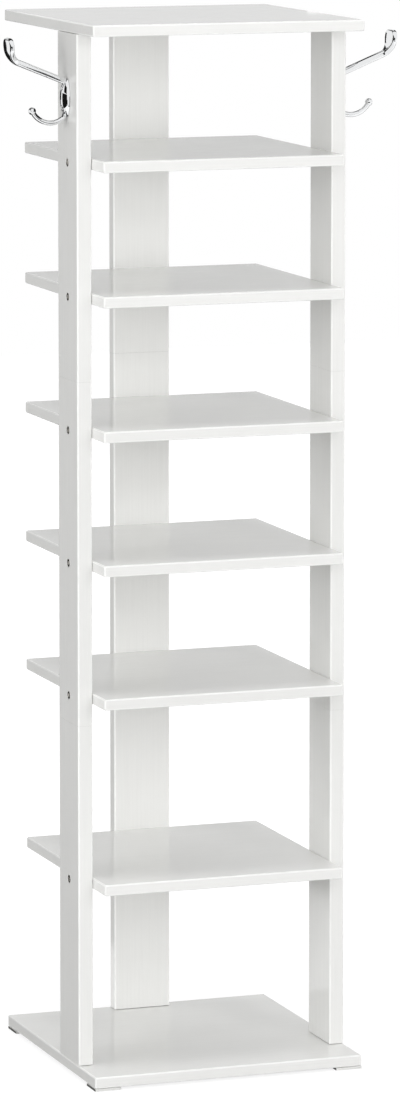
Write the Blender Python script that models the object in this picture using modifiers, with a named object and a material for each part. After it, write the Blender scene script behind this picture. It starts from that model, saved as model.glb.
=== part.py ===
# Tall narrow shoe rack: six shelves between three spliced posts, a top and a base, and two coat hooks.
# Units are metres. The front faces -Y, +X is to the right, and the feet stand on Z = 0.
import math

import bmesh
import bpy
from mathutils import Matrix, Vector

# Whole size and board stock
WIDTH = 0.300
DEPTH = 0.300
HEIGHT = 1.1211
BOARD = 0.012
POST_THICK = 0.016
POST_WIDE = 0.064
EDGE_ROUND = 0.0006

# Places on the base, measured from its front or back edge
POST_SETBACK = 0.054
SHELF_SETBACK = 0.015
BACK_POST_INSET = 0.002

# Clear height of the compartments, from the base up; equal shoe tiers share what these leave
BOOT_CLEAR = 0.1895
TALL_CLEAR = 0.1855
TOP_CLEAR = 0.1305
SHOE_TIERS = 4

# Post splices: one below the screw line over the tall compartment, one above the middle shoe shelf's
LOWER_SEAM_DROP = 0.0284
UPPER_SEAM_RISE = 0.0541

# Foot pads
FOOT_SIDE = 0.029
FOOT_THICK = 0.0025

# Clearances
SEAT_GAP = 0.0003
HOLE_CLEAR = 0.0003
CUT_PAST = 0.002

# Connecting screws of shelves and base
SCREW_SHANK_D = 0.005
SCREW_HEAD_D = 0.0085
SCREW_HEAD_THICK = 0.0025
SCREW_HEAD_ROUND = 0.0006
SCREW_LENGTH = 0.045
SCREW_POINT = 0.003
SCREW_TIP_D = 0.0025
SOCKET_ACROSS = 0.004
SOCKET_DEPTH = 0.0016

# Studs in the post splices and dowels under the top
STUD_D = 0.008
STUD_LENGTH = 0.032
DOWEL_D = 0.008
DOWEL_LENGTH = 0.030
DOWEL_COVER = 0.0045
PIN_CHAMFER = 0.001

# Hook plate: two round ends joined by straight tangents
HOOK_DROP = 0.0693
PLATE_THICK = 0.0045
PLATE_ROUND = 0.0012
PLATE_TOP_R = 0.0112
PLATE_TOP_Z = 0.0103
PLATE_LOW_R = 0.0095
PLATE_LOW_Z = -0.0105

# Upper hook arm: a straight rise, a curl and a flared paddle
ARM_ROOT_Z = 0.0179
ARM_ANGLE = math.radians(22)
ARM_REACH = 0.053
ARM_THICK = 0.0066
ARM_WIDE = 0.0074
CURL_R = 0.016
CURL_END = math.radians(85)
PADDLE_RISE = 0.013
PADDLE_WIDE = 0.026
PADDLE_THICK = 0.0052
PADDLE_CORNER_R = 0.005

# Lower prong: a short bend out of the plate and a wide arc that ends in a knob
PRONG_ROOT_Z = -0.017
PRONG_BEND_R = 0.005
PRONG_R = 0.0223
PRONG_START = math.radians(-35)
PRONG_END = math.radians(65)
PRONG_D = 0.0053
KNOB_D = 0.008

# Countersunk hook screws
HOOK_SCREW_D = 0.0035
HOOK_SCREW_HEAD_D = 0.0068
HOOK_SCREW_LENGTH = 0.016
HOOK_SCREW_TIP_D = 0.0009
HOOK_SCREW_UP = 0.011
HOOK_SCREW_DOWN = 0.0095

# Facets round turned and swept forms
TURN_STEPS = 12
SWEEP_SIDES = 16
ARC_STEPS = 10
BEND_STEPS = 4
EDGE_STEPS = 2
CORNER_ANGLES = (0, 28, 48, 66, 80)
SMOOTH_BELOW = math.radians(35)

# Levels that follow from the sizes above
BASE_BOTTOM = FOOT_THICK + SEAT_GAP
BASE_TOP = BASE_BOTTOM + BOARD
TOP_BOTTOM = HEIGHT - BOARD
POST_BOTTOM = BASE_TOP + SEAT_GAP
POST_TOP = TOP_BOTTOM - SEAT_GAP
TALL_TIERS = [BOOT_CLEAR, TALL_CLEAR]
SHELVES = len(TALL_TIERS) + SHOE_TIERS
SHOE_ROOM = TOP_BOTTOM - BASE_TOP - SHELVES * BOARD - sum(TALL_TIERS) - TOP_CLEAR
CLEARS = TALL_TIERS + [SHOE_ROOM / SHOE_TIERS] * SHOE_TIERS
SHELF_MIDDLES = [BASE_TOP + sum(CLEARS[:tier + 1]) + tier * BOARD + BOARD / 2 for tier in range(SHELVES)]
LOWER_SEAM = SHELF_MIDDLES[len(TALL_TIERS) - 1] - LOWER_SEAM_DROP
UPPER_SEAM = SHELF_MIDDLES[len(TALL_TIERS) + SHOE_TIERS // 2 - 1] + UPPER_SEAM_RISE

# The three posts: middle of the section, size across X and Y, and the way their outer face looks
SIDE_POST_X = (WIDTH - POST_THICK) / 2
SIDE_POST_Y = POST_SETBACK + (POST_WIDE - DEPTH) / 2
BACK_POST_Y = (DEPTH - POST_THICK) / 2 - BACK_POST_INSET
SIDE_SECTION = (POST_THICK, POST_WIDE)
BACK_SECTION = (POST_WIDE, POST_THICK)
POSTS = {
    "left": {"x": -SIDE_POST_X, "y": SIDE_POST_Y, "size": SIDE_SECTION, "out": Vector((-1, 0, 0))},
    "right": {"x": SIDE_POST_X, "y": SIDE_POST_Y, "size": SIDE_SECTION, "out": Vector((1, 0, 0))},
    "back": {"x": 0.0, "y": BACK_POST_Y, "size": BACK_SECTION, "out": Vector((0, 1, 0))},
}


def new_collection(name):
    collection = bpy.data.collections.new(name)
    bpy.context.scene.collection.children.link(collection)
    return collection


def new_material(name, color, roughness, metallic):
    material = bpy.data.materials.new(name)
    material.use_nodes = True
    shader = material.node_tree.nodes["Principled BSDF"]
    shader.inputs["Base Color"].default_value = (*color, 1.0)
    shader.inputs["Roughness"].default_value = roughness
    shader.inputs["Metallic"].default_value = metallic
    return material


def mesh_from(bm, name):
    mesh = bpy.data.meshes.new(name)
    bm.to_mesh(mesh)
    bm.free()
    return mesh


def add_part(name, mesh, material, matrix):
    part = bpy.data.objects.new(name, mesh)
    part.matrix_world = matrix
    part.data.materials.clear()
    part.data.materials.append(material)
    parts.objects.link(part)
    return part


def add_cutter(name, mesh, matrix):
    cutter = bpy.data.objects.new(name, mesh)
    cutter.matrix_world = matrix
    cutter.hide_render = True
    cutter.display_type = "WIRE"
    cutters.objects.link(cutter)
    return cutter


def combine(piece, other, operation):
    modifier = piece.modifiers.new(other.name, "BOOLEAN")
    modifier.operation = operation
    modifier.solver = "EXACT"
    modifier.object = other


def smooth_mesh(mesh):
    mesh.shade_smooth()
    mesh.set_sharp_from_angle(angle=SMOOTH_BELOW)
    return mesh


def finished_mesh(piece, name):
    # Keeps the evaluated shape as a plain mesh that several objects can share
    depsgraph = bpy.context.evaluated_depsgraph_get()
    mesh = bpy.data.meshes.new_from_object(piece.evaluated_get(depsgraph))
    mesh.name = name
    bpy.data.objects.remove(piece, do_unlink=True)
    return smooth_mesh(mesh)


def facing(point, outward):
    # Places local +Z along the outward direction, with the origin at the point
    turn = Vector(outward).to_track_quat("Z", "Y").to_matrix().to_4x4()
    return Matrix.Translation(point) @ turn


def box_mesh(name, size):
    bm = bmesh.new()
    bmesh.ops.create_cube(bm, size=1.0)
    bmesh.ops.scale(bm, vec=size, verts=bm.verts)
    return mesh_from(bm, name)


def add_board(name, size, centre, material):
    board = add_part(name, box_mesh(name, size), material, Matrix.Translation(centre))
    bevel = board.modifiers.new("eased edges", "BEVEL")
    bevel.width = EDGE_ROUND
    bevel.segments = EDGE_STEPS
    return board


def turned_mesh(name, profile):
    # The profile runs from the top of the axis down its outer side to the bottom of the axis
    outline = bpy.data.meshes.new(name)
    points = [(radius, 0.0, height) for radius, height in profile]
    edges = [(index, index + 1) for index in range(len(points) - 1)]
    outline.from_pydata(points, edges, [])
    blank = add_cutter(name, outline, Matrix.Identity(4))
    lathe = blank.modifiers.new("lathe", "SCREW")
    lathe.steps = TURN_STEPS
    lathe.render_steps = TURN_STEPS
    lathe.use_merge_vertices = True
    lathe.merge_threshold = 0.00001
    return finished_mesh(blank, name)


def screw_mesh():
    head = SCREW_HEAD_D / 2
    shank = SCREW_SHANK_D / 2
    body = turned_mesh("screw body", [
        (0, 0),
        (head - SCREW_HEAD_ROUND, 0),
        (head, -SCREW_HEAD_ROUND),
        (head, -SCREW_HEAD_THICK),
        (shank, -SCREW_HEAD_THICK),
        (shank, SCREW_POINT - SCREW_LENGTH),
        (SCREW_TIP_D / 2, -SCREW_LENGTH),
        (0, -SCREW_LENGTH),
    ])
    socket = bmesh.new()
    socket_r = SOCKET_ACROSS / math.sqrt(3)
    bmesh.ops.create_cone(socket, cap_ends=True, segments=6, radius1=socket_r, radius2=socket_r,
                          depth=2 * SOCKET_DEPTH)
    blank = add_cutter("screw blank", body, Matrix.Identity(4))
    key = add_cutter("hex key", mesh_from(socket, "hex key"), Matrix.Identity(4))
    combine(blank, key, "DIFFERENCE")
    mesh = finished_mesh(blank, "connecting screw")
    bpy.data.objects.remove(key, do_unlink=True)
    return mesh


def screw_hole_mesh():
    head = SCREW_HEAD_D / 2 + HOLE_CLEAR
    shank = SCREW_SHANK_D / 2 + HOLE_CLEAR
    seat = -SCREW_HEAD_THICK - HOLE_CLEAR
    end = -SCREW_LENGTH - HOLE_CLEAR
    return turned_mesh("screw hole", [
        (0, CUT_PAST),
        (head, CUT_PAST),
        (head, seat),
        (shank, seat),
        (shank, end),
        (0, end),
    ])


def pin_mesh(name, diameter, top, bottom):
    radius = diameter / 2
    return turned_mesh(name, [
        (0, top),
        (radius - PIN_CHAMFER, top),
        (radius, top - PIN_CHAMFER),
        (radius, bottom + PIN_CHAMFER),
        (radius - PIN_CHAMFER, bottom),
        (0, bottom),
    ])


def pin_hole_mesh(name, diameter, top, bottom):
    radius = diameter / 2 + HOLE_CLEAR
    high = top + HOLE_CLEAR
    low = bottom - HOLE_CLEAR
    return turned_mesh(name, [(0, high), (radius, high), (radius, low), (0, low)])


def hook_screw_mesh():
    head = HOOK_SCREW_HEAD_D / 2
    shank = HOOK_SCREW_D / 2
    cone = head - shank
    return turned_mesh("hook screw", [
        (0, 0),
        (head, 0),
        (shank, -cone),
        (shank, SCREW_POINT - HOOK_SCREW_LENGTH),
        (HOOK_SCREW_TIP_D / 2, -HOOK_SCREW_LENGTH),
        (0, -HOOK_SCREW_LENGTH),
    ])


def hook_screw_hole_mesh():
    head = HOOK_SCREW_HEAD_D / 2 + HOLE_CLEAR
    shank = HOOK_SCREW_D / 2 + HOLE_CLEAR
    cone = head - shank
    end = -HOOK_SCREW_LENGTH - HOLE_CLEAR
    return turned_mesh("hook screw hole", [
        (0, CUT_PAST),
        (head, CUT_PAST),
        (head, -HOLE_CLEAR),
        (shank, -HOLE_CLEAR - cone),
        (shank, end),
        (0, end),
    ])


def plate_mesh():
    # Tangent lines leave both round ends at the same small angle
    lean = math.asin((PLATE_TOP_R - PLATE_LOW_R) / (PLATE_TOP_Z - PLATE_LOW_Z))
    outline = []
    for radius, height, first, last in (
        (PLATE_TOP_R, PLATE_TOP_Z, -lean, math.pi + lean),
        (PLATE_LOW_R, PLATE_LOW_Z, math.pi + lean, 2 * math.pi - lean),
    ):
        for step in range(ARC_STEPS + 1):
            angle = first + (last - first) * step / ARC_STEPS
            outline.append((0, radius * math.cos(angle), height + radius * math.sin(angle)))
    bm = bmesh.new()
    back = bm.faces.new([bm.verts.new(point) for point in outline])
    grown = bmesh.ops.extrude_face_region(bm, geom=[back])["geom"]
    front = [item for item in grown if isinstance(item, bmesh.types.BMVert)]
    bmesh.ops.translate(bm, vec=(PLATE_THICK, 0, 0), verts=front)
    rim = [edge for edge in bm.edges if all(vert in front for vert in edge.verts)]
    bmesh.ops.bevel(bm, geom=rim, offset=PLATE_ROUND, segments=EDGE_STEPS, profile=0.5, affect="EDGES")
    bmesh.ops.recalc_face_normals(bm, faces=bm.faces)
    return mesh_from(bm, "hook plate")


def loft_mesh(name, stations):
    # Each station is a place on the path, its direction, and half the section's thickness and width
    bm = bmesh.new()
    rings = []
    for place, angle, half_thick, half_wide in stations:
        normal = heading_normal(angle)
        ring = []
        for side in range(SWEEP_SIDES):
            turn = 2 * math.pi * side / SWEEP_SIDES
            across = Vector((0, half_wide * math.cos(turn), 0))
            ring.append(bm.verts.new(place + across + normal * half_thick * math.sin(turn)))
        rings.append(ring)
    for ring, following in zip(rings, rings[1:]):
        for side in range(SWEEP_SIDES):
            after = (side + 1) % SWEEP_SIDES
            bm.faces.new((ring[side], ring[after], following[after], following[side]))
    bm.faces.new(rings[0])
    bm.faces.new(rings[-1])
    bmesh.ops.recalc_face_normals(bm, faces=bm.faces)
    return mesh_from(bm, name)


def heading_normal(angle):
    # Unit vector to the right of a path that heads along the angle in the XZ plane
    return Vector((math.sin(angle), 0, -math.cos(angle)))


def smooth_step(value):
    clamped = min(max(value, 0.0), 1.0)
    return clamped * clamped * (3 - 2 * clamped)


def round_end(share):
    # Falls from one to nothing along a quarter circle
    return math.sqrt(1 - max(share, 0.0) ** 2)


def arm_mesh():
    root = Vector((PLATE_THICK / 2, 0, ARM_ROOT_Z))
    run = Vector((math.cos(ARM_ANGLE), 0, math.sin(ARM_ANGLE)))
    end_run = Vector((math.cos(CURL_END), 0, math.sin(CURL_END)))
    rise_length = (ARM_REACH - root.x) / math.cos(ARM_ANGLE)
    curl_length = CURL_R * (CURL_END - ARM_ANGLE)
    length = rise_length + curl_length + PADDLE_RISE
    centre = root + run * rise_length - CURL_R * heading_normal(ARM_ANGLE)
    flare_end = length - PADDLE_CORNER_R
    tip_start = length - PADDLE_THICK / 2
    marks = [0.0, rise_length / 2]
    marks += [rise_length + curl_length * step / ARC_STEPS for step in range(ARC_STEPS + 1)]
    marks += [flare_end + PADDLE_CORNER_R * math.sin(math.radians(angle)) for angle in CORNER_ANGLES]
    stations = []
    for mark in marks:
        if mark <= rise_length:
            angle = ARM_ANGLE
            place = root + run * mark
        else:
            angle = min(ARM_ANGLE + (mark - rise_length) / CURL_R, CURL_END)
            past = max(mark - rise_length - curl_length, 0.0)
            place = centre + CURL_R * heading_normal(angle) + end_run * past
        flare = smooth_step((mark - rise_length) / (flare_end - rise_length))
        corner = 1 - round_end((mark - flare_end) / PADDLE_CORNER_R)
        half_thick = (ARM_THICK + (PADDLE_THICK - ARM_THICK) * flare) / 2
        half_thick *= round_end((mark - tip_start) / (length - tip_start))
        half_wide = (ARM_WIDE + (PADDLE_WIDE - ARM_WIDE) * flare) / 2 - PADDLE_CORNER_R * corner
        stations.append((place, angle, half_thick, half_wide))
    return loft_mesh("hook arm", stations)


def prong_mesh():
    # The root starts inside the plate, swells out of it, bends outward and carries on as the wide arc
    rod = PRONG_D / 2
    knob = KNOB_D / 2
    down = -math.pi / 2
    root = Vector((rod + SEAT_GAP, 0, PRONG_ROOT_Z))
    bend_centre = root + Vector((PRONG_BEND_R, 0, 0))
    arc_start = bend_centre + PRONG_BEND_R * heading_normal(PRONG_START)
    arc_centre = arc_start - PRONG_R * heading_normal(PRONG_START)
    neck = math.acos(rod / knob)
    knob_angle = knob / PRONG_R
    sweep = PRONG_END - PRONG_START - knob_angle * math.sin(neck)
    buried = PLATE_THICK / 2 - SEAT_GAP
    stations = [(Vector((PLATE_THICK / 2, 0, PLATE_LOW_Z)), down, buried, buried)]
    for step in range(BEND_STEPS):
        angle = down + (PRONG_START - down) * step / BEND_STEPS
        stations.append((bend_centre + PRONG_BEND_R * heading_normal(angle), angle, rod, rod))
    for step in range(ARC_STEPS + 1):
        angle = PRONG_START + sweep * step / ARC_STEPS
        stations.append((arc_centre + PRONG_R * heading_normal(angle), angle, rod, rod))
    for step in range(1, ARC_STEPS):
        polar = -neck + (math.pi / 2 + neck) * step / ARC_STEPS
        angle = PRONG_END + knob_angle * math.sin(polar)
        radius = knob * math.cos(polar)
        stations.append((arc_centre + PRONG_R * heading_normal(angle), angle, radius, radius))
    return loft_mesh("hook prong", stations)


def hook_mesh(hole):
    # The casting looks along +X from the post, with its back on the plane X = 0
    casting = add_cutter("hook casting", plate_mesh(), Matrix.Identity(4))
    arm = add_cutter("hook arm", arm_mesh(), Matrix.Identity(4))
    prong = add_cutter("hook prong", prong_mesh(), Matrix.Identity(4))
    combine(casting, arm, "UNION")
    combine(casting, prong, "UNION")
    tools = [arm, prong]
    for height in (HOOK_SCREW_UP, -HOOK_SCREW_DOWN):
        tool = add_cutter("hook bore", hole, facing((PLATE_THICK, 0, height), (1, 0, 0)))
        combine(casting, tool, "DIFFERENCE")
        tools.append(tool)
    mesh = finished_mesh(casting, "coat hook")
    for tool in tools:
        bpy.data.objects.remove(tool, do_unlink=True)
    return mesh


def build_boards():
    whole = (WIDTH, DEPTH, BOARD)
    boards = {
        "base_panel": add_board("base_panel", whole, (0, 0, BASE_BOTTOM + BOARD / 2), laminate),
        "top_panel": add_board("top_panel", whole, (0, 0, TOP_BOTTOM + BOARD / 2), laminate),
    }
    shelf_wide = WIDTH - 2 * (POST_THICK + SEAT_GAP)
    shelf_front = SHELF_SETBACK - DEPTH / 2
    shelf_back = BACK_POST_Y - POST_THICK / 2 - SEAT_GAP
    shelf_size = (shelf_wide, shelf_back - shelf_front, BOARD)
    for number, middle in enumerate(SHELF_MIDDLES, 1):
        name = f"shelf_{number}"
        boards[name] = add_board(name, shelf_size, (0, (shelf_front + shelf_back) / 2, middle), laminate)
    return boards


def build_feet():
    reach_x = (WIDTH - FOOT_SIDE) / 2
    reach_y = (DEPTH - FOOT_SIDE) / 2
    mesh = box_mesh("foot pad", (FOOT_SIDE, FOOT_SIDE, FOOT_THICK))
    for depth_name, side_y in (("front", -1), ("back", 1)):
        for side_name, side_x in (("left", -1), ("right", 1)):
            place = Matrix.Translation((side_x * reach_x, side_y * reach_y, FOOT_THICK / 2))
            add_part(f"foot_{depth_name}_{side_name}", mesh, pad, place)


def build_post(side):
    post = POSTS[side]
    levels = {
        "lower": (POST_BOTTOM, LOWER_SEAM - SEAT_GAP / 2),
        "middle": (LOWER_SEAM + SEAT_GAP / 2, UPPER_SEAM - SEAT_GAP / 2),
        "upper": (UPPER_SEAM + SEAT_GAP / 2, POST_TOP),
    }
    segments = {}
    for level, (low, high) in levels.items():
        size = (*post["size"], high - low)
        centre = (post["x"], post["y"], (low + high) / 2)
        segments[level] = add_board(f"{side}_post_{level}", size, centre, laminate)
    return segments


def fasten_shelves(side, segments, boards):
    post = POSTS[side]
    for number, middle in enumerate(SHELF_MIDDLES, 1):
        face = Vector((post["x"], post["y"], middle)) + post["out"] * POST_THICK / 2
        matrix = facing(face, post["out"])
        add_part(f"{side}_screw_{number}", screw, nickel, matrix)
        hole = add_cutter(f"{side}_screw_hole_{number}", screw_hole, matrix)
        level = "lower" if middle < LOWER_SEAM else "middle" if middle < UPPER_SEAM else "upper"
        combine(segments[level], hole, "DIFFERENCE")
        combine(boards[f"shelf_{number}"], hole, "DIFFERENCE")


def fasten_ends(side, segments, boards):
    post = POSTS[side]
    under = facing((post["x"], post["y"], BASE_BOTTOM), (0, 0, -1))
    add_part(f"base_screw_{side}", screw, nickel, under)
    hole = add_cutter(f"base_screw_hole_{side}", screw_hole, under)
    combine(boards["base_panel"], hole, "DIFFERENCE")
    combine(segments["lower"], hole, "DIFFERENCE")
    over = Matrix.Translation((post["x"], post["y"], TOP_BOTTOM))
    add_part(f"top_dowel_{side}", dowel, beech, over)
    hole = add_cutter(f"top_dowel_hole_{side}", dowel_hole, over)
    combine(boards["top_panel"], hole, "DIFFERENCE")
    combine(segments["upper"], hole, "DIFFERENCE")


def splice(side, segments):
    post = POSTS[side]
    joints = {"lower": (LOWER_SEAM, ("lower", "middle")), "upper": (UPPER_SEAM, ("middle", "upper"))}
    for joint, (height, levels) in joints.items():
        matrix = Matrix.Translation((post["x"], post["y"], height))
        add_part(f"{side}_stud_{joint}", stud, zinc, matrix)
        hole = add_cutter(f"{side}_stud_hole_{joint}", stud_hole, matrix)
        for level in levels:
            combine(segments[level], hole, "DIFFERENCE")


def hang_hook(side, segment):
    post = POSTS[side]
    seat = Vector((post["x"], post["y"], TOP_BOTTOM - HOOK_DROP)) + post["out"] * (POST_THICK / 2 + SEAT_GAP)
    turn = math.pi if post["out"].x < 0 else 0.0
    add_part(f"{side}_hook", hook, chrome, Matrix.Translation(seat) @ Matrix.Rotation(turn, 4, "Z"))
    for name, height in (("upper", HOOK_SCREW_UP), ("lower", -HOOK_SCREW_DOWN)):
        matrix = facing(seat + post["out"] * PLATE_THICK + Vector((0, 0, height)), post["out"])
        add_part(f"{side}_hook_screw_{name}", hook_screw, chrome, matrix)
        hole = add_cutter(f"{side}_hook_screw_hole_{name}", hook_screw_hole, matrix)
        combine(segment, hole, "DIFFERENCE")


for leftover in list(bpy.data.objects):
    bpy.data.objects.remove(leftover, do_unlink=True)

parts = new_collection("shoe_rack")
cutters = new_collection("shoe_rack_cutters")

laminate = new_material("white_laminate_board", (0.86, 0.86, 0.855), 0.42, 0.0)
chrome = new_material("polished_chrome_casting", (0.80, 0.80, 0.81), 0.08, 1.0)
nickel = new_material("nickel_plated_screw", (0.62, 0.61, 0.59), 0.30, 1.0)
zinc = new_material("zinc_plated_stud", (0.55, 0.56, 0.58), 0.38, 1.0)
beech = new_material("beech_dowel", (0.62, 0.45, 0.29), 0.60, 0.0)
pad = new_material("foam_foot_pad", (0.80, 0.80, 0.79), 0.80, 0.0)

dowel_top = BOARD - DOWEL_COVER - HOLE_CLEAR
dowel_bottom = dowel_top - DOWEL_LENGTH
screw = screw_mesh()
screw_hole = screw_hole_mesh()
stud = pin_mesh("splice stud", STUD_D, STUD_LENGTH / 2, -STUD_LENGTH / 2)
stud_hole = pin_hole_mesh("splice stud hole", STUD_D, STUD_LENGTH / 2, -STUD_LENGTH / 2)
dowel = pin_mesh("top dowel", DOWEL_D, dowel_top, dowel_bottom)
dowel_hole = pin_hole_mesh("top dowel hole", DOWEL_D, dowel_top, dowel_bottom)
hook_screw = hook_screw_mesh()
hook_screw_hole = hook_screw_hole_mesh()
hook = hook_mesh(hook_screw_hole)

boards = build_boards()
build_feet()
for side in POSTS:
    segments = build_post(side)
    fasten_shelves(side, segments, boards)
    fasten_ends(side, segments, boards)
    splice(side, segments)
    if side != "back":
        hang_hook(side, segments["upper"])

print(f"{len(parts.objects)} pieces, {HEIGHT:.4f} m tall")
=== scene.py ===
import math

import bmesh
import bpy
from mathutils import Matrix, Vector


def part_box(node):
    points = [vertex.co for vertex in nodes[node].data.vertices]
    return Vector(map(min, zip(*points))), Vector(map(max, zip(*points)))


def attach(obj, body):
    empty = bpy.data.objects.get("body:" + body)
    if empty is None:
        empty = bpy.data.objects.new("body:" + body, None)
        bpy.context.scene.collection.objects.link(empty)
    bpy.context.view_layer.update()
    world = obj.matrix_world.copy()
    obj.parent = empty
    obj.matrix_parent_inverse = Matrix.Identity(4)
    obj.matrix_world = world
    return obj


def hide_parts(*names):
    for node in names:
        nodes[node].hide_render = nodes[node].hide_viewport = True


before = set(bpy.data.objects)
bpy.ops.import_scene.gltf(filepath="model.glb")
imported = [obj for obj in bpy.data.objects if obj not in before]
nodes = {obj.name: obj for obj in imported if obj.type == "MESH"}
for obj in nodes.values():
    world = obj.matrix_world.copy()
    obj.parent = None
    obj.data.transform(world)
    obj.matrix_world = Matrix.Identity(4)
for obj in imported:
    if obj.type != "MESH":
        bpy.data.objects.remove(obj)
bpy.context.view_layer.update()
print("frame loaded:", len(nodes), "CAD nodes")

mm = 0.001
sides = ("left", "right", "back")
outward = {
    "left": Vector((-1, 0, 0)), "right": Vector((1, 0, 0)), "back": Vector((0, 1, 0)), "base": Vector((0, 0, -1)),
}


# Camera: set well back on the left of the front, looking down a little
camera = {
    "place": (-2.0229, -5.7078, 1.4891),
    "turn": 19.6967,  # degrees right of straight ahead
    "down": 6.0948,  # degrees below level
    "focal": 5701.84,  # in pixels of the 400 x 1100 frame
    "frameTall": 1100,
    "sensor": 36.0,  # mm
    "shift": -0.25,
    "sight": 100,  # m
}


def setCamera():
    data = bpy.data.cameras.new("camera")
    data.sensor_width = camera["sensor"]
    data.lens = camera["focal"] / camera["frameTall"] * camera["sensor"]
    data.shift_y = camera["shift"]
    data.clip_end = camera["sight"]
    viewer = bpy.data.objects.new("camera", data)
    turn, down = math.radians(camera["turn"]), math.radians(camera["down"])
    look = Vector((math.sin(turn) * math.cos(down), math.cos(turn) * math.cos(down), -math.sin(down)))
    viewer.location = camera["place"]
    viewer.rotation_euler = look.to_track_quat("-Z", "Y").to_euler()
    bpy.context.scene.collection.objects.link(viewer)
    bpy.context.scene.camera = viewer


setCamera()
print("camera set")


# Materials
def hexToLinear(code):
    parts = [int(code[at:at + 2], 16) / 255 for at in (1, 3, 5)]
    return [*(part / 12.92 if part <= 0.04045 else ((part + 0.055) / 1.055) ** 2.4 for part in parts), 1.0]


def addNode(tree, kind, settings=None, links=None):
    node = tree.nodes.new(kind)
    for key, value in (settings or {}).items():
        if isinstance(key, int) or key in node.inputs:
            node.inputs[key].default_value = value
        else:
            setattr(node, key, value)
    for socket, source in (links or {}).items():
        tree.links.new(source, node.inputs[socket])
    return node


def newMaterial(name):
    material = bpy.data.materials.new(name)
    material.use_nodes = True
    tree = material.node_tree
    shader = tree.nodes["Principled BSDF"]
    place = addNode(tree, "ShaderNodeTexCoord").outputs["Object"]
    return material, tree, shader, place


noiseSpread = 0.3, 0.7  # nearly all of a noise lies between these

laminate = {
    "pale": "#F0F0EE", "deep": "#ECECEA",  # printed paper under melamine
    "edgeHighlightPale": "#FAFAF9", "edgeHighlightDeep": "#F7F7F5",  # edge band, painted whiter where it is eased: a painted highlight along every edge
    "grainWide": 2.4, "grainLong": 110,  # mm; real lines are about 1 mm, drawn wider so that they show
    "poreWide": 1.0, "poreLong": 16, "poreDeep": 0.02,  # mm
    "cloudSize": 60,  # mm, slow change of tone over a board
    "grainShare": 0.65, "cloudShare": 0.35, "toneSpread": (0.36, 0.64),
    "gloss": (0.08, 0.13), "emboss": 0.5, "ior": 1.48,
}


def laminateMaterial(name, along, pale=laminate["pale"], deep=laminate["deep"]):
    # Melamine-faced particle board with a pressed wood grain: a satin white, faint lines along the grain
    material, tree, shader, place = newMaterial(name)

    def stretched(wide, long):
        scale = [1 / (wide * mm)] * 3
        scale[along] = 1 / (long * mm)
        return addNode(tree, "ShaderNodeMapping", {"Scale": scale}, {"Vector": place}).outputs[0]

    grain = addNode(tree, "ShaderNodeTexNoise", {"Scale": 1.0, "Detail": 4.0, "Roughness": 0.62},
                    {"Vector": stretched(laminate["grainWide"], laminate["grainLong"])}).outputs[0]
    pores = addNode(tree, "ShaderNodeTexNoise", {"Scale": 1.0, "Detail": 2.0, "Roughness": 0.5},
                    {"Vector": stretched(laminate["poreWide"], laminate["poreLong"])}).outputs[0]
    cloud = addNode(tree, "ShaderNodeTexNoise", {"Scale": 1 / (laminate["cloudSize"] * mm), "Detail": 2.0},
                    {"Vector": place}).outputs[0]
    mixed = addNode(tree, "ShaderNodeMath", {"operation": "MULTIPLY_ADD", 1: laminate["cloudShare"], 2: 0.0},
                    {0: cloud}).outputs[0]
    mixed = addNode(tree, "ShaderNodeMath", {"operation": "MULTIPLY_ADD", 1: laminate["grainShare"]},
                    {0: grain, 2: mixed}).outputs[0]
    tone = addNode(tree, "ShaderNodeMapRange", {"From Min": laminate["toneSpread"][0],
                                                "From Max": laminate["toneSpread"][1]}, {"Value": mixed}).outputs[0]
    paint = addNode(tree, "ShaderNodeMix", {"data_type": "RGBA", 6: hexToLinear(deep), 7: hexToLinear(pale)},
                    {0: tone}).outputs[2]
    gloss = addNode(tree, "ShaderNodeMapRange", {"From Min": noiseSpread[0], "From Max": noiseSpread[1],
                                                 "To Min": laminate["gloss"][0], "To Max": laminate["gloss"][1]},
                    {"Value": pores}).outputs[0]
    emboss = addNode(tree, "ShaderNodeBump", {"Strength": laminate["emboss"], "Distance": laminate["poreDeep"] * mm},
                     {"Height": pores}).outputs[0]
    tree.links.new(paint, shader.inputs["Base Color"])
    tree.links.new(gloss, shader.inputs["Roughness"])
    tree.links.new(emboss, shader.inputs["Normal"])
    shader.inputs["IOR"].default_value = laminate["ior"]
    return material


chrome = {
    "colour": "#EAEBEC", "gloss": (0.03, 0.06),
    "waveSize": 7, "waveDeep": 0.012, "ripple": 0.3,  # size and depth in mm
}


def chromeMaterial():
    # Chrome plate on a polished zinc casting: a mirror that the hand polish leaves very slightly wavy
    material, tree, shader, place = newMaterial("polished_chrome_casting")
    wave = addNode(tree, "ShaderNodeTexNoise", {"Scale": 1 / (chrome["waveSize"] * mm), "Detail": 1.0},
                   {"Vector": place}).outputs[0]
    gloss = addNode(tree, "ShaderNodeMapRange", {"From Min": noiseSpread[0], "From Max": noiseSpread[1],
                                                 "To Min": chrome["gloss"][0], "To Max": chrome["gloss"][1]},
                    {"Value": wave}).outputs[0]
    ripple = addNode(tree, "ShaderNodeBump", {"Strength": chrome["ripple"], "Distance": chrome["waveDeep"] * mm},
                     {"Height": wave}).outputs[0]
    shader.inputs["Base Color"].default_value = hexToLinear(chrome["colour"])
    shader.inputs["Metallic"].default_value = 1.0
    tree.links.new(gloss, shader.inputs["Roughness"])
    tree.links.new(ripple, shader.inputs["Normal"])
    return material


plated = {  # grit in mm
    "nickel_plated_screw": {"pale": "#D6D3CC", "deep": "#BDB9B1", "gloss": (0.16, 0.28), "grit": 0.5},
    # the socket colour is far paler than the head so the recess reads bright: a painted highlight
    "pressed_screw_socket": {"pale": "#F2F1EE", "deep": "#E4E2DD", "gloss": (0.5, 0.62), "grit": 0.4},
    "zinc_plated_stud": {"pale": "#C2C6CC", "deep": "#A9ABA8", "gloss": (0.28, 0.42), "grit": 1.2},
}


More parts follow.
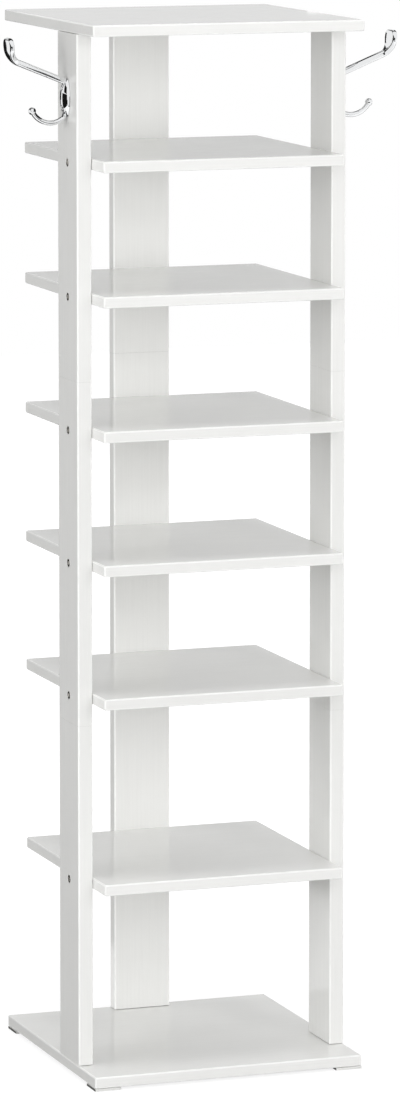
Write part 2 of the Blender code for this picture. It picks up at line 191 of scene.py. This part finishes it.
def platedMaterial(name):
    # Barrel-plated steel: bright, with a fine tumbled grit that blurs the shine
    finish = plated[name]
    material, tree, shader, place = newMaterial(name)
    grit = addNode(tree, "ShaderNodeTexNoise", {"Scale": 1 / (finish["grit"] * mm), "Detail": 3.0},
                   {"Vector": place}).outputs[0]
    paint = addNode(tree, "ShaderNodeMix", {"data_type": "RGBA", 6: hexToLinear(finish["deep"]),
                                            7: hexToLinear(finish["pale"])}, {0: grit}).outputs[2]
    gloss = addNode(tree, "ShaderNodeMapRange", {"From Min": noiseSpread[0], "From Max": noiseSpread[1],
                                                 "To Min": finish["gloss"][0], "To Max": finish["gloss"][1]},
                    {"Value": grit}).outputs[0]
    shader.inputs["Metallic"].default_value = 1.0
    tree.links.new(paint, shader.inputs["Base Color"])
    tree.links.new(gloss, shader.inputs["Roughness"])
    return material


beech = {"pale": "#D3B084", "deep": "#B98F60", "fleckWide": 0.5, "fleckLong": 3.0, "matt": 0.62}  # flecks in mm


def beechMaterial():
    # Bare turned beech: matt, straw brown, short darker flecks along the grain
    material, tree, shader, place = newMaterial("beech_dowel")
    scale = (1 / (beech["fleckWide"] * mm), 1 / (beech["fleckWide"] * mm), 1 / (beech["fleckLong"] * mm))
    along = addNode(tree, "ShaderNodeMapping", {"Scale": scale}, {"Vector": place}).outputs[0]
    fleck = addNode(tree, "ShaderNodeTexNoise", {"Scale": 1.0, "Detail": 3.0}, {"Vector": along}).outputs[0]
    paint = addNode(tree, "ShaderNodeMix", {"data_type": "RGBA", 6: hexToLinear(beech["deep"]),
                                            7: hexToLinear(beech["pale"])}, {0: fleck}).outputs[2]
    shader.inputs["Roughness"].default_value = beech["matt"]
    tree.links.new(paint, shader.inputs["Base Color"])
    return material


foam = {  # cell sizes in mm
    "foam_strip_skin": {"pale": "#ECECEA", "deep": "#DEDEDB", "cell": 0.7, "cellDeep": 0.04, "dents": 0.5, "matt": 0.8},
    "foam_strip_painted_shade": {"pale": "#5E5E5C", "deep": "#444443", "cell": 0.7, "cellDeep": 0.08, "dents": 0.5, "matt": 0.8},
}


def foamMaterial(name):
    # White-skinned closed-cell foam strip: matt, tiny cells; the dark variant is painted shade on the pads' left and
    # right faces
    strip = foam[name]
    material, tree, shader, place = newMaterial(name)
    cells = addNode(tree, "ShaderNodeTexVoronoi", {"Scale": 1 / (strip["cell"] * mm)},
                    {"Vector": place}).outputs["Distance"]
    paint = addNode(tree, "ShaderNodeMix", {"data_type": "RGBA", 6: hexToLinear(strip["deep"]),
                                            7: hexToLinear(strip["pale"])}, {0: cells}).outputs[2]
    dents = addNode(tree, "ShaderNodeBump", {"Strength": strip["dents"], "Distance": strip["cellDeep"] * mm},
                    {"Height": cells}).outputs[0]
    shader.inputs["Roughness"].default_value = strip["matt"]
    tree.links.new(paint, shader.inputs["Base Color"])
    tree.links.new(dents, shader.inputs["Normal"])
    return material


uprightLaminate = laminateMaterial("white_laminate_upright_grain", 2)
flatLaminate = laminateMaterial("white_laminate_cross_grain", 0)
# The edge band is paler than the faces so the eased edges show a painted highlight
paintedHighlightEdge = laminateMaterial("white_edge_band_painted_highlight", 0, laminate["edgeHighlightPale"], laminate["edgeHighlightDeep"])
chromePlate = chromeMaterial()
nickelPlate = platedMaterial("nickel_plated_screw")
socketPaintedHighlight = platedMaterial("pressed_screw_socket")
zincPlate = platedMaterial("zinc_plated_stud")
beechWood = beechMaterial()
foamSkin = foamMaterial("foam_strip_skin")
foamPaintedShade = foamMaterial("foam_strip_painted_shade")


def finishFor(name):
    if "post" in name:
        return uprightLaminate
    if "panel" in name or "shelf" in name:
        return flatLaminate
    if "stud" in name:
        return zincPlate
    if "dowel" in name:
        return beechWood
    if "foot" in name:
        return foamSkin
    return chromePlate if "hook" in name else nickelPlate


for name, node in nodes.items():
    node.data.materials.clear()
    node.data.materials.append(finishFor(name))
print("finishes on the CAD nodes")


# Making pieces
making = {"sharpFrom": 32, "level": 1e-5, "merge": 1e-6}  # degrees, then metres


def meshFrom(bm, *materials):
    mesh = bpy.data.meshes.new("blank")
    bm.to_mesh(mesh)
    bm.free()
    for material in materials:
        mesh.materials.append(material)
    return mesh


def pieceOf(mesh, name, slot, *stoodFor):
    mesh.name = name
    mesh.shade_smooth()
    mesh.set_sharp_from_angle(angle=math.radians(making["sharpFrom"]))
    piece = bpy.data.objects.new(name, mesh)
    bpy.context.scene.collection.objects.link(piece)
    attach(piece, "root")
    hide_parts(*stoodFor)
    return piece


def shapedMesh(blankMesh, change):
    # Runs modifiers on a blank and keeps the plain mesh that they give
    blank = bpy.data.objects.new("blank", blankMesh)
    bpy.context.scene.collection.objects.link(blank)
    change(blank)
    graph = bpy.context.evaluated_depsgraph_get()
    mesh = bpy.data.meshes.new_from_object(blank.evaluated_get(graph))
    bpy.data.objects.remove(blank, do_unlink=True)
    return mesh


def combined(blankMesh, otherMesh, how):
    other = bpy.data.objects.new("other", otherMesh)
    bpy.context.scene.collection.objects.link(other)

    def combine(blank):
        step = blank.modifiers.new("combine", "BOOLEAN")
        step.operation = how
        step.solver = "EXACT"
        step.object = other

    mesh = shapedMesh(blankMesh, combine)
    bpy.data.objects.remove(other, do_unlink=True)
    return mesh


def cutAway(blankMesh, toolMesh):
    return combined(blankMesh, toolMesh, "DIFFERENCE")


def lathe(profile, steps):
    # Turns a line of (radius, height) points round the Z axis into a closed body
    bm = bmesh.new()
    line = [bm.verts.new((radius, 0, height)) for radius, height in profile]
    edges = [bm.edges.new(pair) for pair in zip(line, line[1:])]
    bmesh.ops.spin(bm, geom=line + edges, axis=(0, 0, 1), cent=(0, 0, 0), steps=steps, angle=2 * math.pi,
                   use_merge=True)
    bmesh.ops.remove_doubles(bm, verts=bm.verts, dist=making["merge"])
    bmesh.ops.recalc_face_normals(bm, faces=bm.faces)
    return bm


def block(low, high):
    bm = bmesh.new()
    bmesh.ops.create_cube(bm, size=1.0)
    bmesh.ops.scale(bm, vec=high - low, verts=bm.verts)
    bmesh.ops.translate(bm, vec=(low + high) / 2, verts=bm.verts)
    return bm


def rises(edge):
    return abs(edge.verts[0].co.z - edge.verts[1].co.z) > making["level"]


def facing(point, way):
    return Matrix.Translation(point) @ way.to_track_quat("Z", "Y").to_matrix().to_4x4()


def drill(profile, steps, places, *materials):
    # One turned cutter at each of the places
    tool = bmesh.new()
    for place in places:
        bit = meshFrom(lathe(profile, steps))
        bit.transform(place)
        tool.from_mesh(bit)
        bpy.data.meshes.remove(bit)
    return meshFrom(tool, *materials)


def seatOf(node, way):
    # Middle of the node's face that looks along the given way
    low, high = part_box(node)
    point = (low + high) / 2
    for axis in range(3):
        if way[axis]:
            point[axis] = high[axis] if way[axis] > 0 else low[axis]
    return point


# Boards and posts: edges eased after banding, pockets bored for the screw heads that show
board = {
    "ease": 1.6, "easeSteps": 5, "seamFill": 0.1, "footJoint": 0.3,  # mm
    "pocket": 9.1, "pocketDeep": 2.8, "bore": 5.6, "boreDeep": 30, "cutterProud": 2, "cutterSteps": 48,  # mm
}


def machineBoard(name, finish, pockets):
    low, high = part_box(name)
    upright = "post" in name
    if upright:
        low.z += (board["footJoint"] if name.endswith("lower") else -board["seamFill"]) * mm
        high.z += (0 if name.endswith("upper") else board["seamFill"]) * mm
    bm = block(low, high)
    edges = [edge for edge in bm.edges if not upright or rises(edge)]
    eased = bmesh.ops.bevel(bm, geom=edges, offset=board["ease"] * mm, affect="EDGES", segments=board["easeSteps"],
                            profile=0.5, material=-1)["faces"]
    # The eased faces take the paler edge band: a painted highlight on every edge
    for face in eased:
        face.material_index = 1
    finishes = finish, paintedHighlightEdge
    mesh = meshFrom(bm, *finishes)
    if pockets:
        head, shank, seat = board["pocket"] / 2 * mm, board["bore"] / 2 * mm, -board["pocketDeep"] * mm
        proud, end = board["cutterProud"] * mm, -board["boreDeep"] * mm
        step = [(0, proud), (head, proud), (head, seat), (shank, seat), (shank, end), (0, end)]
        mesh = cutAway(mesh, drill(step, board["cutterSteps"], pockets, *finishes))
    piece = pieceOf(mesh, name + "_board", "white_laminate", name)
    for polygon in piece.data.polygons:
        polygon.use_smooth = polygon.material_index == 1


def machineBoards():
    names = [name for name in nodes if "post" in name or "panel" in name or "shelf" in name]
    for name in names:
        low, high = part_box(name)
        side = "base" if name == "base_panel" else name.split("_")[0]
        pockets = []
        for screw in nodes:
            if screw.startswith(side + "_screw_"):
                seat = seatOf(screw, outward[side])
                if side == "base" or low.z < seat.z < high.z:
                    pockets.append(facing(seat, outward[side]))
        machineBoard(name, finishFor(name), pockets)
    return len(names)


print("boards machined:", machineBoards())


# Connecting screws: low cap, rounded rim, hex socket
connectingScrew = {
    "head": 8.5, "headThick": 2.5, "shank": 5.0, "length": 45, "tip": 2.5, "point": 3,  # mm
    "socket": 4.0, "socketDeep": 1.6,
    "flatShare": 0.62,  # of the head
    "rim": 0.7, "rimDrop": 0.77, "rimLine": ((1.0, 0.08), (0.45, 0.18), (0.12, 0.42)),  # share of the rim, drop in mm
    "steps": 40,
}


def connectingScrewMesh():
    size = connectingScrew
    head, shank, rim = size["head"] / 2 * mm, size["shank"] / 2 * mm, size["rim"] * mm
    seat, end = -size["headThick"] * mm, -size["length"] * mm
    socket = size["socket"] / math.sqrt(3) * mm  # corner radius of the hexagon
    cap = [(0, 0), (head * size["flatShare"], 0)]
    cap += [(head - share * rim, -drop * mm) for share, drop in size["rimLine"]]
    cap += [(head, -size["rimDrop"] * mm), (head, seat)]
    stem = [(shank, seat), (shank, size["point"] * mm + end), (size["tip"] / 2 * mm, end), (0, end)]
    bm = lathe(cap + stem, size["steps"])
    tool = bmesh.new()
    bmesh.ops.create_cone(tool, cap_ends=True, segments=6, radius1=socket, radius2=socket,
                          depth=2 * size["socketDeep"] * mm)
    # the socket faces take the pale socket colour: a painted highlight inside the recess
    for face in tool.faces:
        face.material_index = 1
    finishes = nickelPlate, socketPaintedHighlight
    return cutAway(meshFrom(bm, *finishes), meshFrom(tool, *finishes))


def placeCopies(mesh, names, slot, ways):
    for name in names:
        way = ways(name)
        copy = mesh.copy()
        copy.transform(facing(seatOf(name, way), way))
        pieceOf(copy, name + "_detail", slot, name)


screwNames = [f"{side}_screw_{number}" for side in sides for number in range(1, 7)]
screwNames += [f"base_screw_{side}" for side in sides]
placeCopies(connectingScrewMesh(), screwNames, "nickel_screw", lambda name: outward[name.split("_")[0]])
print("connecting screws made:", len(screwNames))


# Coat hooks: a plate, a long arm that curls up into a paddle, and a short prong with a knob
hook = {
    "plateThick": 4.5, "plateCrown": 7, "plateWide": 22.4, "topUp": 21.5, "lowDown": 20, "prongTop": 10.5,  # mm
    "armUp": 17.9, "armReach": 53, "armThick": 6.6, "armWide": 7.4,
    "barRound": 2.2,  # corner radius of the oblong bar
    "curlRadius": 16, "paddleRise": 13, "paddleWide": 26, "paddleThick": 5.2, "paddleCorner": 9,
    "prongDown": 17, "bendRadius": 5, "prongRadius": 22.3, "prongThick": 5.3, "knob": 8,
    "screwUp": 11, "screwDown": 9.5, "screwHead": 6.8, "screwShank": 3.5, "screwLength": 16, "gap": 0.3,
    "boreDeep": 8, "cutterProud": 4,
    "armLean": 22, "curlEnd": 85, "prongStart": -35, "prongEnd": 65,  # degrees
    "ringSteps": 72, "curlSteps": 24, "bendSteps": 8, "arcSteps": 24, "knobSteps": 18, "boreSteps": 48,
    "plateRound": 96, "plateRise": 48,  # steps of the plate's shell
}
hookSize = {key: value * mm for key, value in hook.items()}  # the same in metres


def sweep(bm, stations):
    # Each station gives a place, a heading in the XZ plane, and half the thickness and width there
    rings = []
    for place, heading, halfThick, halfWide in stations:
        out, up = math.cos(heading), math.sin(heading)
        turn = Matrix(((up, 0, out), (0, 1, 0), (-out, 0, up)))
        corner = min(hookSize["barRound"], halfThick, halfWide) if halfWide > halfThick else halfThick
        ring = bmesh.ops.create_circle(bm, segments=hook["ringSteps"], radius=corner)["verts"]
        for vert in ring:
            vert.co.x += math.copysign(halfThick - corner, vert.co.x)
            vert.co.y += math.copysign(halfWide - corner, vert.co.y)
        bmesh.ops.transform(bm, matrix=Matrix.Translation(place) @ turn.to_4x4(), verts=ring)
        rings.append({edge for vert in ring for edge in vert.link_edges})
    ends = list(rings[0] | rings[-1])
    for near, far in zip(rings, rings[1:]):
        bmesh.ops.bridge_loops(bm, edges=list(near | far))
    bmesh.ops.holes_fill(bm, edges=ends, sides=0)


def across(heading):
    return Vector((math.sin(heading), 0, -math.cos(heading)))


def ease(value):
    held = min(max(value, 0.0), 1.0)
    return held * held * (3 - 2 * held)


def quarterRound(share):
    return math.sqrt(max(0.0, 1 - min(max(share, 0.0), 1.0) ** 2))


def armStations():
    lean, curlEnd = math.radians(hook["armLean"]), math.radians(hook["curlEnd"])
    root = Vector((hookSize["plateThick"] / 2, 0, hookSize["armUp"]))
    run = Vector((math.cos(lean), 0, math.sin(lean)))
    rise = Vector((math.cos(curlEnd), 0, math.sin(curlEnd)))
    straight = (hookSize["armReach"] - root.x) / math.cos(lean)
    curl = hookSize["curlRadius"] * (curlEnd - lean)
    length = straight + curl + hookSize["paddleRise"]
    centre = root + run * straight - hookSize["curlRadius"] * across(lean)
    flareEnd, tipStart = length - hookSize["paddleCorner"], length - hookSize["paddleThick"] / 2
    marks = [0.0, straight / 2] + [straight + curl * step / hook["curlSteps"] for step in range(hook["curlSteps"] + 1)]
    cornerTurns = 0, 15, 30, 42, 54, 64, 72, 79, 85  # degrees round the corners of the paddle
    marks += [flareEnd + hookSize["paddleCorner"] * math.sin(math.radians(turn)) for turn in cornerTurns]
    stations = []
    for mark in marks:
        heading = min(max(lean + (mark - straight) / hookSize["curlRadius"], lean), curlEnd)
        if mark <= straight:
            place = root + run * mark
        else:
            place = centre + hookSize["curlRadius"] * across(heading) + rise * max(mark - straight - curl, 0.0)
        flare = ease((mark - straight) / (flareEnd - straight))
        corner = hookSize["paddleCorner"] * (1 - quarterRound((mark - flareEnd) / hookSize["paddleCorner"]))
        thick = hookSize["armThick"] + (hookSize["paddleThick"] - hookSize["armThick"]) * flare
        wide = hookSize["armWide"] + (hookSize["paddleWide"] - hookSize["armWide"]) * flare
        thick *= quarterRound((mark - tipStart) / (length - tipStart))
        stations.append((place, heading, thick / 2, wide / 2 - corner))
    return stations


def prongStations():
    start, end, down = math.radians(hook["prongStart"]), math.radians(hook["prongEnd"]), -math.pi / 2
    rod, knob = hookSize["prongThick"] / 2, hookSize["knob"] / 2
    root = Vector((rod + hookSize["gap"], 0, -hookSize["prongDown"]))
    bend = root + Vector((hookSize["bendRadius"], 0, 0))
    centre = bend + (hookSize["bendRadius"] - hookSize["prongRadius"]) * across(start)
    neck, knobTurn = math.acos(rod / knob), knob / hookSize["prongRadius"]
    buried = hookSize["plateThick"] / 2 - hookSize["gap"]
    stations = [(Vector((hookSize["plateThick"] / 2, 0, -hookSize["prongTop"])), down, buried, buried)]
    for step in range(hook["bendSteps"]):
        heading = down + (start - down) * step / hook["bendSteps"]
        stations.append((bend + hookSize["bendRadius"] * across(heading), heading, rod, rod))
    sweepEnd = end - knobTurn * math.sin(neck)
    for step in range(hook["arcSteps"] + 1):
        heading = start + (sweepEnd - start) * step / hook["arcSteps"]
        stations.append((centre + hookSize["prongRadius"] * across(heading), heading, rod, rod))
    for step in range(1, hook["knobSteps"]):
        polar = -neck + (math.pi / 2 + neck) * step / hook["knobSteps"]
        heading, radius = end + knobTurn * math.sin(polar), knob * math.cos(polar)
        stations.append((centre + hookSize["prongRadius"] * across(heading), heading, radius, radius))
    return stations


def plateShell(bm):
    # Half of a long egg: a crowned oval that is flat where it lies on the post
    tall, middle = (hookSize["topUp"] + hookSize["lowDown"]) / 2, (hookSize["topUp"] - hookSize["lowDown"]) / 2
    bmesh.ops.create_uvsphere(bm, u_segments=hook["plateRound"], v_segments=hook["plateRise"], radius=1.0)
    bmesh.ops.scale(bm, vec=(hookSize["plateCrown"], hookSize["plateWide"] / 2, tall), verts=bm.verts)
    bmesh.ops.translate(bm, vec=(0, 0, middle), verts=bm.verts)
    whole = list(bm.verts) + list(bm.edges) + list(bm.faces)
    bmesh.ops.bisect_plane(bm, geom=whole, dist=1e-7, plane_co=(0, 0, 0), plane_no=(1, 0, 0), clear_inner=True)
    bmesh.ops.holes_fill(bm, edges=[edge for edge in bm.edges if edge.is_boundary], sides=0)


def bodyOf(shape):
    bm = bmesh.new()
    shape(bm)
    bmesh.ops.recalc_face_normals(bm, faces=bm.faces)
    return meshFrom(bm, chromePlate)


def castingMesh():
    casting = bodyOf(plateShell)
    for stations in (armStations(), prongStations()):
        casting = combined(casting, bodyOf(lambda bm: sweep(bm, stations)), "UNION")
    head, shank = hookSize["screwHead"] / 2 + hookSize["gap"], hookSize["screwShank"] / 2 + hookSize["gap"]
    proud, end = hookSize["cutterProud"], -hookSize["boreDeep"]
    countersink = [(0, proud), (head, proud), (head, 0), (shank, shank - head), (shank, end), (0, end)]
    seats = [facing(Vector((hookSize["plateThick"], 0, height)), outward["right"])
             for height in (hookSize["screwUp"], -hookSize["screwDown"])]
    return cutAway(casting, drill(countersink, hook["boreSteps"], seats, chromePlate))


def hangHooks():
    mesh = castingMesh()
    for side in ("left", "right"):
        low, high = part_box(side + "_hook")
        seat = Vector((high.x if side == "left" else low.x, (low.y + high.y) / 2, 0))
        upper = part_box(f"{side}_hook_screw_upper")
        seat.z = (upper[0].z + upper[1].z) / 2 - hookSize["screwUp"]
        turn = Matrix.Rotation(math.pi if side == "left" else 0.0, 4, "Z")
        copy = mesh.copy()
        copy.transform(Matrix.Translation(seat) @ turn)
        pieceOf(copy, side + "_hook_casting", "chrome", side + "_hook")
    return mesh


print("coat hooks cast:", len(hangHooks().polygons), "faces each")


# Hook screws: oval countersunk heads with a cross recess
hookScrew = {
    "crown": 1.8, "tip": 0.9, "point": 3,  # mm
    "crossLong": 3.8, "crossWide": 0.9, "crossDeep": 1.3,  # mm
    "crossTaper": 0.55,  # share of its size that is left at the bottom
    "domeTurns": (0, 20, 40, 58, 74), "steps": 40,
}


def hookScrewMesh():
    head, shank, end = hookSize["screwHead"] / 2, hookSize["screwShank"] / 2, -hookSize["screwLength"]
    crown, taper = hookScrew["crown"] * mm, hookScrew["crossTaper"]
    cross = [hookScrew[key] * mm for key in ("crossLong", "crossWide", "crossDeep")]
    turns = [math.radians(turn) for turn in hookScrew["domeTurns"]]
    dome = [(head * math.sin(turn), crown * math.cos(turn)) for turn in turns]
    stem = [(shank, shank - head), (shank, hookScrew["point"] * mm + end), (hookScrew["tip"] / 2 * mm, end), (0, end)]
    screw = meshFrom(lathe(dome + [(head, 0)] + stem, hookScrew["steps"]), chromePlate)
    for turn in (0, math.pi / 2):  # one bar of the cross at a time
        tool = bmesh.new()
        bar = bmesh.ops.create_cube(tool, size=1.0)["verts"]
        bmesh.ops.scale(tool, vec=(cross[0], cross[1], 2 * cross[2]), verts=bar)
        bmesh.ops.scale(tool, vec=(taper, taper, 1), verts=[vert for vert in bar if vert.co.z < 0])
        bmesh.ops.rotate(tool, cent=(0, 0, 0), matrix=Matrix.Rotation(turn, 3, "Z"), verts=bar)
        bmesh.ops.translate(tool, vec=(0, 0, crown), verts=bar)
        screw = cutAway(screw, meshFrom(tool, chromePlate))
    return screw


hookScrewNames = [f"{side}_hook_screw_{level}" for side in ("left", "right") for level in ("upper", "lower")]
placeCopies(hookScrewMesh(), hookScrewNames, "chrome_screw", lambda name: outward[name.split("_")[0]])
print("hook screws made:", len(hookScrewNames))


# Foot pads: squares cut from a skinned strip, with softened corners
footPad = {
    "corner": 0.8, "cornerSteps": 6, "edge": 0.3, "edgeSteps": 3,  # mm
    "shadeFrom": 0.7,  # a face that looks along X by more than this gets the painted shade
}


def cutPads():
    for depth in ("front", "back"):
        for side in ("left", "right"):
            name = f"foot_{depth}_{side}"
            bm = block(*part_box(name))
            bmesh.ops.bevel(bm, geom=[edge for edge in bm.edges if rises(edge)], offset=footPad["corner"] * mm,
                            affect="EDGES", segments=footPad["cornerSteps"], profile=0.5, material=-1)
            bm.normal_update()
            bmesh.ops.bevel(bm, geom=[edge for edge in bm.edges if not rises(edge)], offset=footPad["edge"] * mm,
                            affect="EDGES", segments=footPad["edgeSteps"], profile=0.5, material=-1)
            # Faces that look left or right get the dark foam colour: painted shade
            for face in bm.faces:
                face.material_index = int(abs(face.normal.x) > footPad["shadeFrom"])
            pieceOf(meshFrom(bm, foamSkin, foamPaintedShade), name + "_pad", "foot_pad", name)


cutPads()
print("foot pads cut")


# Studio: white floor, a white surround, soft lamps all round, and boards that only show in gloss
studio = {
    "floorSize": 12.0,  # m
    "floorColour": "#C8C8C8", "floorGlow": 1.48,  # matt floor for light, glow for the eye
    "shadowShare": 0.45, "shadowReach": (0.35, 1.3),  # how much of the matt floor shows, and where it fades out, in m
    "roomLevel": 0.42,  # light from all round on the object
    "aim": (0.0, 0.0, 0.55),
}
lamps = {  # place, width and height in m, power in W
    "front_softbox": ((-0.1, -3.75, 1.35), 3.2, 2.1, 73),
    "left_softbox": ((-4.6, -1.4, 1.4), 2.2, 2.2, 62),
    "left_back_softbox": ((-4.6, 0.9, 2.2), 2.4, 1.6, 24),
    "right_softbox": ((4.8, 0.6, 1.2), 2.4, 1.6, 45),
    "back_softbox": ((0.6, 4.6, 1.2), 3.0, 1.4, 42),
    "top_softbox": ((0.0, -0.3, 4.2), 1.6, 1.6, 40),
}
boards = {  # two corners and a level; one that lies flat has no height
    "grey_wall": ((-9.0, 6.0, 0.0), (9.0, 6.0, 3.2), 0.70),
    "dark_upper_wall": ((-9.0, 6.0, 3.2), (9.0, 6.0, 10.0), 0.04),
    "dark_ceiling": ((-9.0, 1.0, 10.0), (9.0, 6.0, 10.0), 0.04),
    "dark_front_wall": ((-9.0, -9.0, 0.0), (2.9, -9.0, 1.3), 0.02),
    "dark_front_mat": ((-6.0, -9.0, 0.005), (2.0, -3.4, 0.005), 0.02),
    "dark_near_mat": ((-6.0, -3.4, 0.005), (1.0, -1.7, 0.005), 0.02),
    "dark_back_mat": ((0.1, 0.6, 0.005), (3.5, 6.0, 0.005), 0.02),
    "black_flag": ((-1.6, 0.95, 0.0), (-0.15, 0.70, 1.25), 0.01),
    "black_flag_mat": ((-1.6, -0.16, 0.001), (-0.151, 0.95, 0.001), 0.01),
    "left_hook_card_upper": ((-0.44, 0.10, 1.02), (-0.258, 0.10, 1.11), 1.0),
    "left_hook_card_lower": ((-0.44, 0.10, 0.95), (-0.222, 0.10, 1.02), 1.0),
    "left_plate_flag": ((-0.175, -0.088, 1.022), (-0.175, -0.051, 1.047), 0.01),
    "left_paddle_flag": ((-0.262, -0.125, 1.058), (-0.262, -0.030, 1.114), 0.01),
    "left_plate_card": ((-0.29, -0.20, 0.96), (-0.165, -0.20, 1.052), 1.0),
    "right_hook_card_lower": ((0.150, 0.02, 1.03), (0.181, 0.02, 1.102), 1.0),
    "right_hook_card_upper": ((0.150, 0.02, 1.102), (0.190, 0.02, 1.125), 1.0),
    "right_hook_flag_lower": ((0.1811, 0.02, 1.083), (0.27, 0.02, 1.102), 0.01),
    "right_hook_flag_upper": ((0.1901, 0.02, 1.102), (0.212, 0.02, 1.118), 0.01),
    "right_hook_side_flag": ((0.172, -0.145, 1.074), (0.172, -0.068, 1.12), 0.01),
    "right_hook_top_card": ((0.208, 0.0, 1.107), (0.26, 0.0, 1.25), 1.0),
    "right_hook_low_card": ((0.10, -0.20, 1.045), (0.22, -0.085, 1.045), 1.0),
}


def seenDirectly(tree):
    # One for what the eye, a mirror or glass sees, zero for light on its way to the object
    path = addNode(tree, "ShaderNodeLightPath").outputs
    seen = addNode(tree, "ShaderNodeMath", {"operation": "MAXIMUM"},
                   {0: path["Is Camera Ray"], 1: path["Is Glossy Ray"]}).outputs[0]
    return addNode(tree, "ShaderNodeMath", {"operation": "MAXIMUM"},
                   {0: seen, 1: path["Is Transmission Ray"]}).outputs[0]


def bareMaterial(name):
    material = bpy.data.materials.new(name)
    material.use_nodes = True
    tree = material.node_tree
    tree.nodes.remove(tree.nodes["Principled BSDF"])
    return material, tree, tree.nodes["Material Output"].inputs["Surface"]


def stagePiece(bm, name, material):
    mesh = meshFrom(bm, material)
    mesh.name = name
    piece = bpy.data.objects.new(name, mesh)
    bpy.context.scene.collection.objects.link(piece)
    return piece


def layFloor():
    bm = bmesh.new()
    bmesh.ops.create_grid(bm, x_segments=1, y_segments=1, size=studio["floorSize"] / 2)
    material, tree, surface = bareMaterial("matt_white_floor")
    matt = addNode(tree, "ShaderNodeBsdfDiffuse", {"Color": hexToLinear(studio["floorColour"])}).outputs[0]
    glow = addNode(tree, "ShaderNodeEmission", {"Strength": studio["floorGlow"]}).outputs[0]
    place = addNode(tree, "ShaderNodeTexCoord").outputs["Object"]
    away = addNode(tree, "ShaderNodeVectorMath", {"operation": "LENGTH"}, {0: place}).outputs["Value"]
    near, far = studio["shadowReach"]
    fade = addNode(tree, "ShaderNodeMapRange", {"interpolation_type": "SMOOTHSTEP", "From Min": near, "From Max": far,
                                                "To Min": 1 - studio["shadowShare"], "To Max": 1 / studio["floorGlow"]},
                   {"Value": away}).outputs[0]
    share = addNode(tree, "ShaderNodeMath", {"operation": "MULTIPLY"}, {0: fade, 1: seenDirectly(tree)}).outputs[0]
    mixed = addNode(tree, "ShaderNodeMixShader", None, {0: share, 1: matt, 2: glow}).outputs[0]
    tree.links.new(mixed, surface)
    stagePiece(bm, "studio_floor", material)


def lightRoom():
    world = bpy.data.worlds.new("white_room")
    world.use_nodes = True
    bpy.context.scene.world = world
    tree = world.node_tree
    level = addNode(tree, "ShaderNodeMapRange", {"To Min": studio["roomLevel"], "To Max": 1.0},
                    {"Value": seenDirectly(tree)}).outputs[0]
    tree.nodes["Background"].inputs["Color"].default_value = (1, 1, 1, 1)
    tree.links.new(level, tree.nodes["Background"].inputs["Strength"])


def hangLight(name):
    place, wide, high, power = lamps[name]
    data = bpy.data.lights.new(name, "AREA")
    data.shape = "RECTANGLE"
    data.size, data.size_y = wide, high
    data.energy = power
    lamp = bpy.data.objects.new(name, data)
    lamp.location = place
    lamp.rotation_euler = (Vector(studio["aim"]) - Vector(place)).to_track_quat("-Z", "Y").to_euler()
    lamp.visible_camera = lamp.visible_glossy = False
    bpy.context.scene.collection.objects.link(lamp)


def standBoard(name):
    low, high, level = boards[name]
    low, high = Vector(low), Vector(high)
    bm = bmesh.new()
    bmesh.ops.create_grid(bm, x_segments=1, y_segments=1, size=0.5)
    if high.z > low.z:
        side = Vector((high.x - low.x, high.y - low.y, 0))
        turn = Matrix.Rotation(math.atan2(side.y, side.x), 3, "Z") @ Matrix.Rotation(math.pi / 2, 3, "X")
        bmesh.ops.scale(bm, vec=(side.length, high.z - low.z, 1), verts=bm.verts)
        bmesh.ops.rotate(bm, cent=(0, 0, 0), matrix=turn, verts=bm.verts)
    else:
        bmesh.ops.scale(bm, vec=(high.x - low.x, high.y - low.y, 1), verts=bm.verts)
    bmesh.ops.translate(bm, vec=(low + high) / 2, verts=bm.verts)
    material, tree, surface = bareMaterial(name + "_cloth")
    glow = addNode(tree, "ShaderNodeEmission", {"Strength": level}).outputs[0]
    tree.links.new(glow, surface)
    card = stagePiece(bm, name, material)
    card.visible_camera = card.visible_diffuse = card.visible_shadow = card.visible_transmission = False


layFloor()
lightRoom()
for name in lamps:
    hangLight(name)
for name in boards:
    standBoard(name)
bpy.context.scene.view_settings.view_transform = "Standard"
print("studio lit")
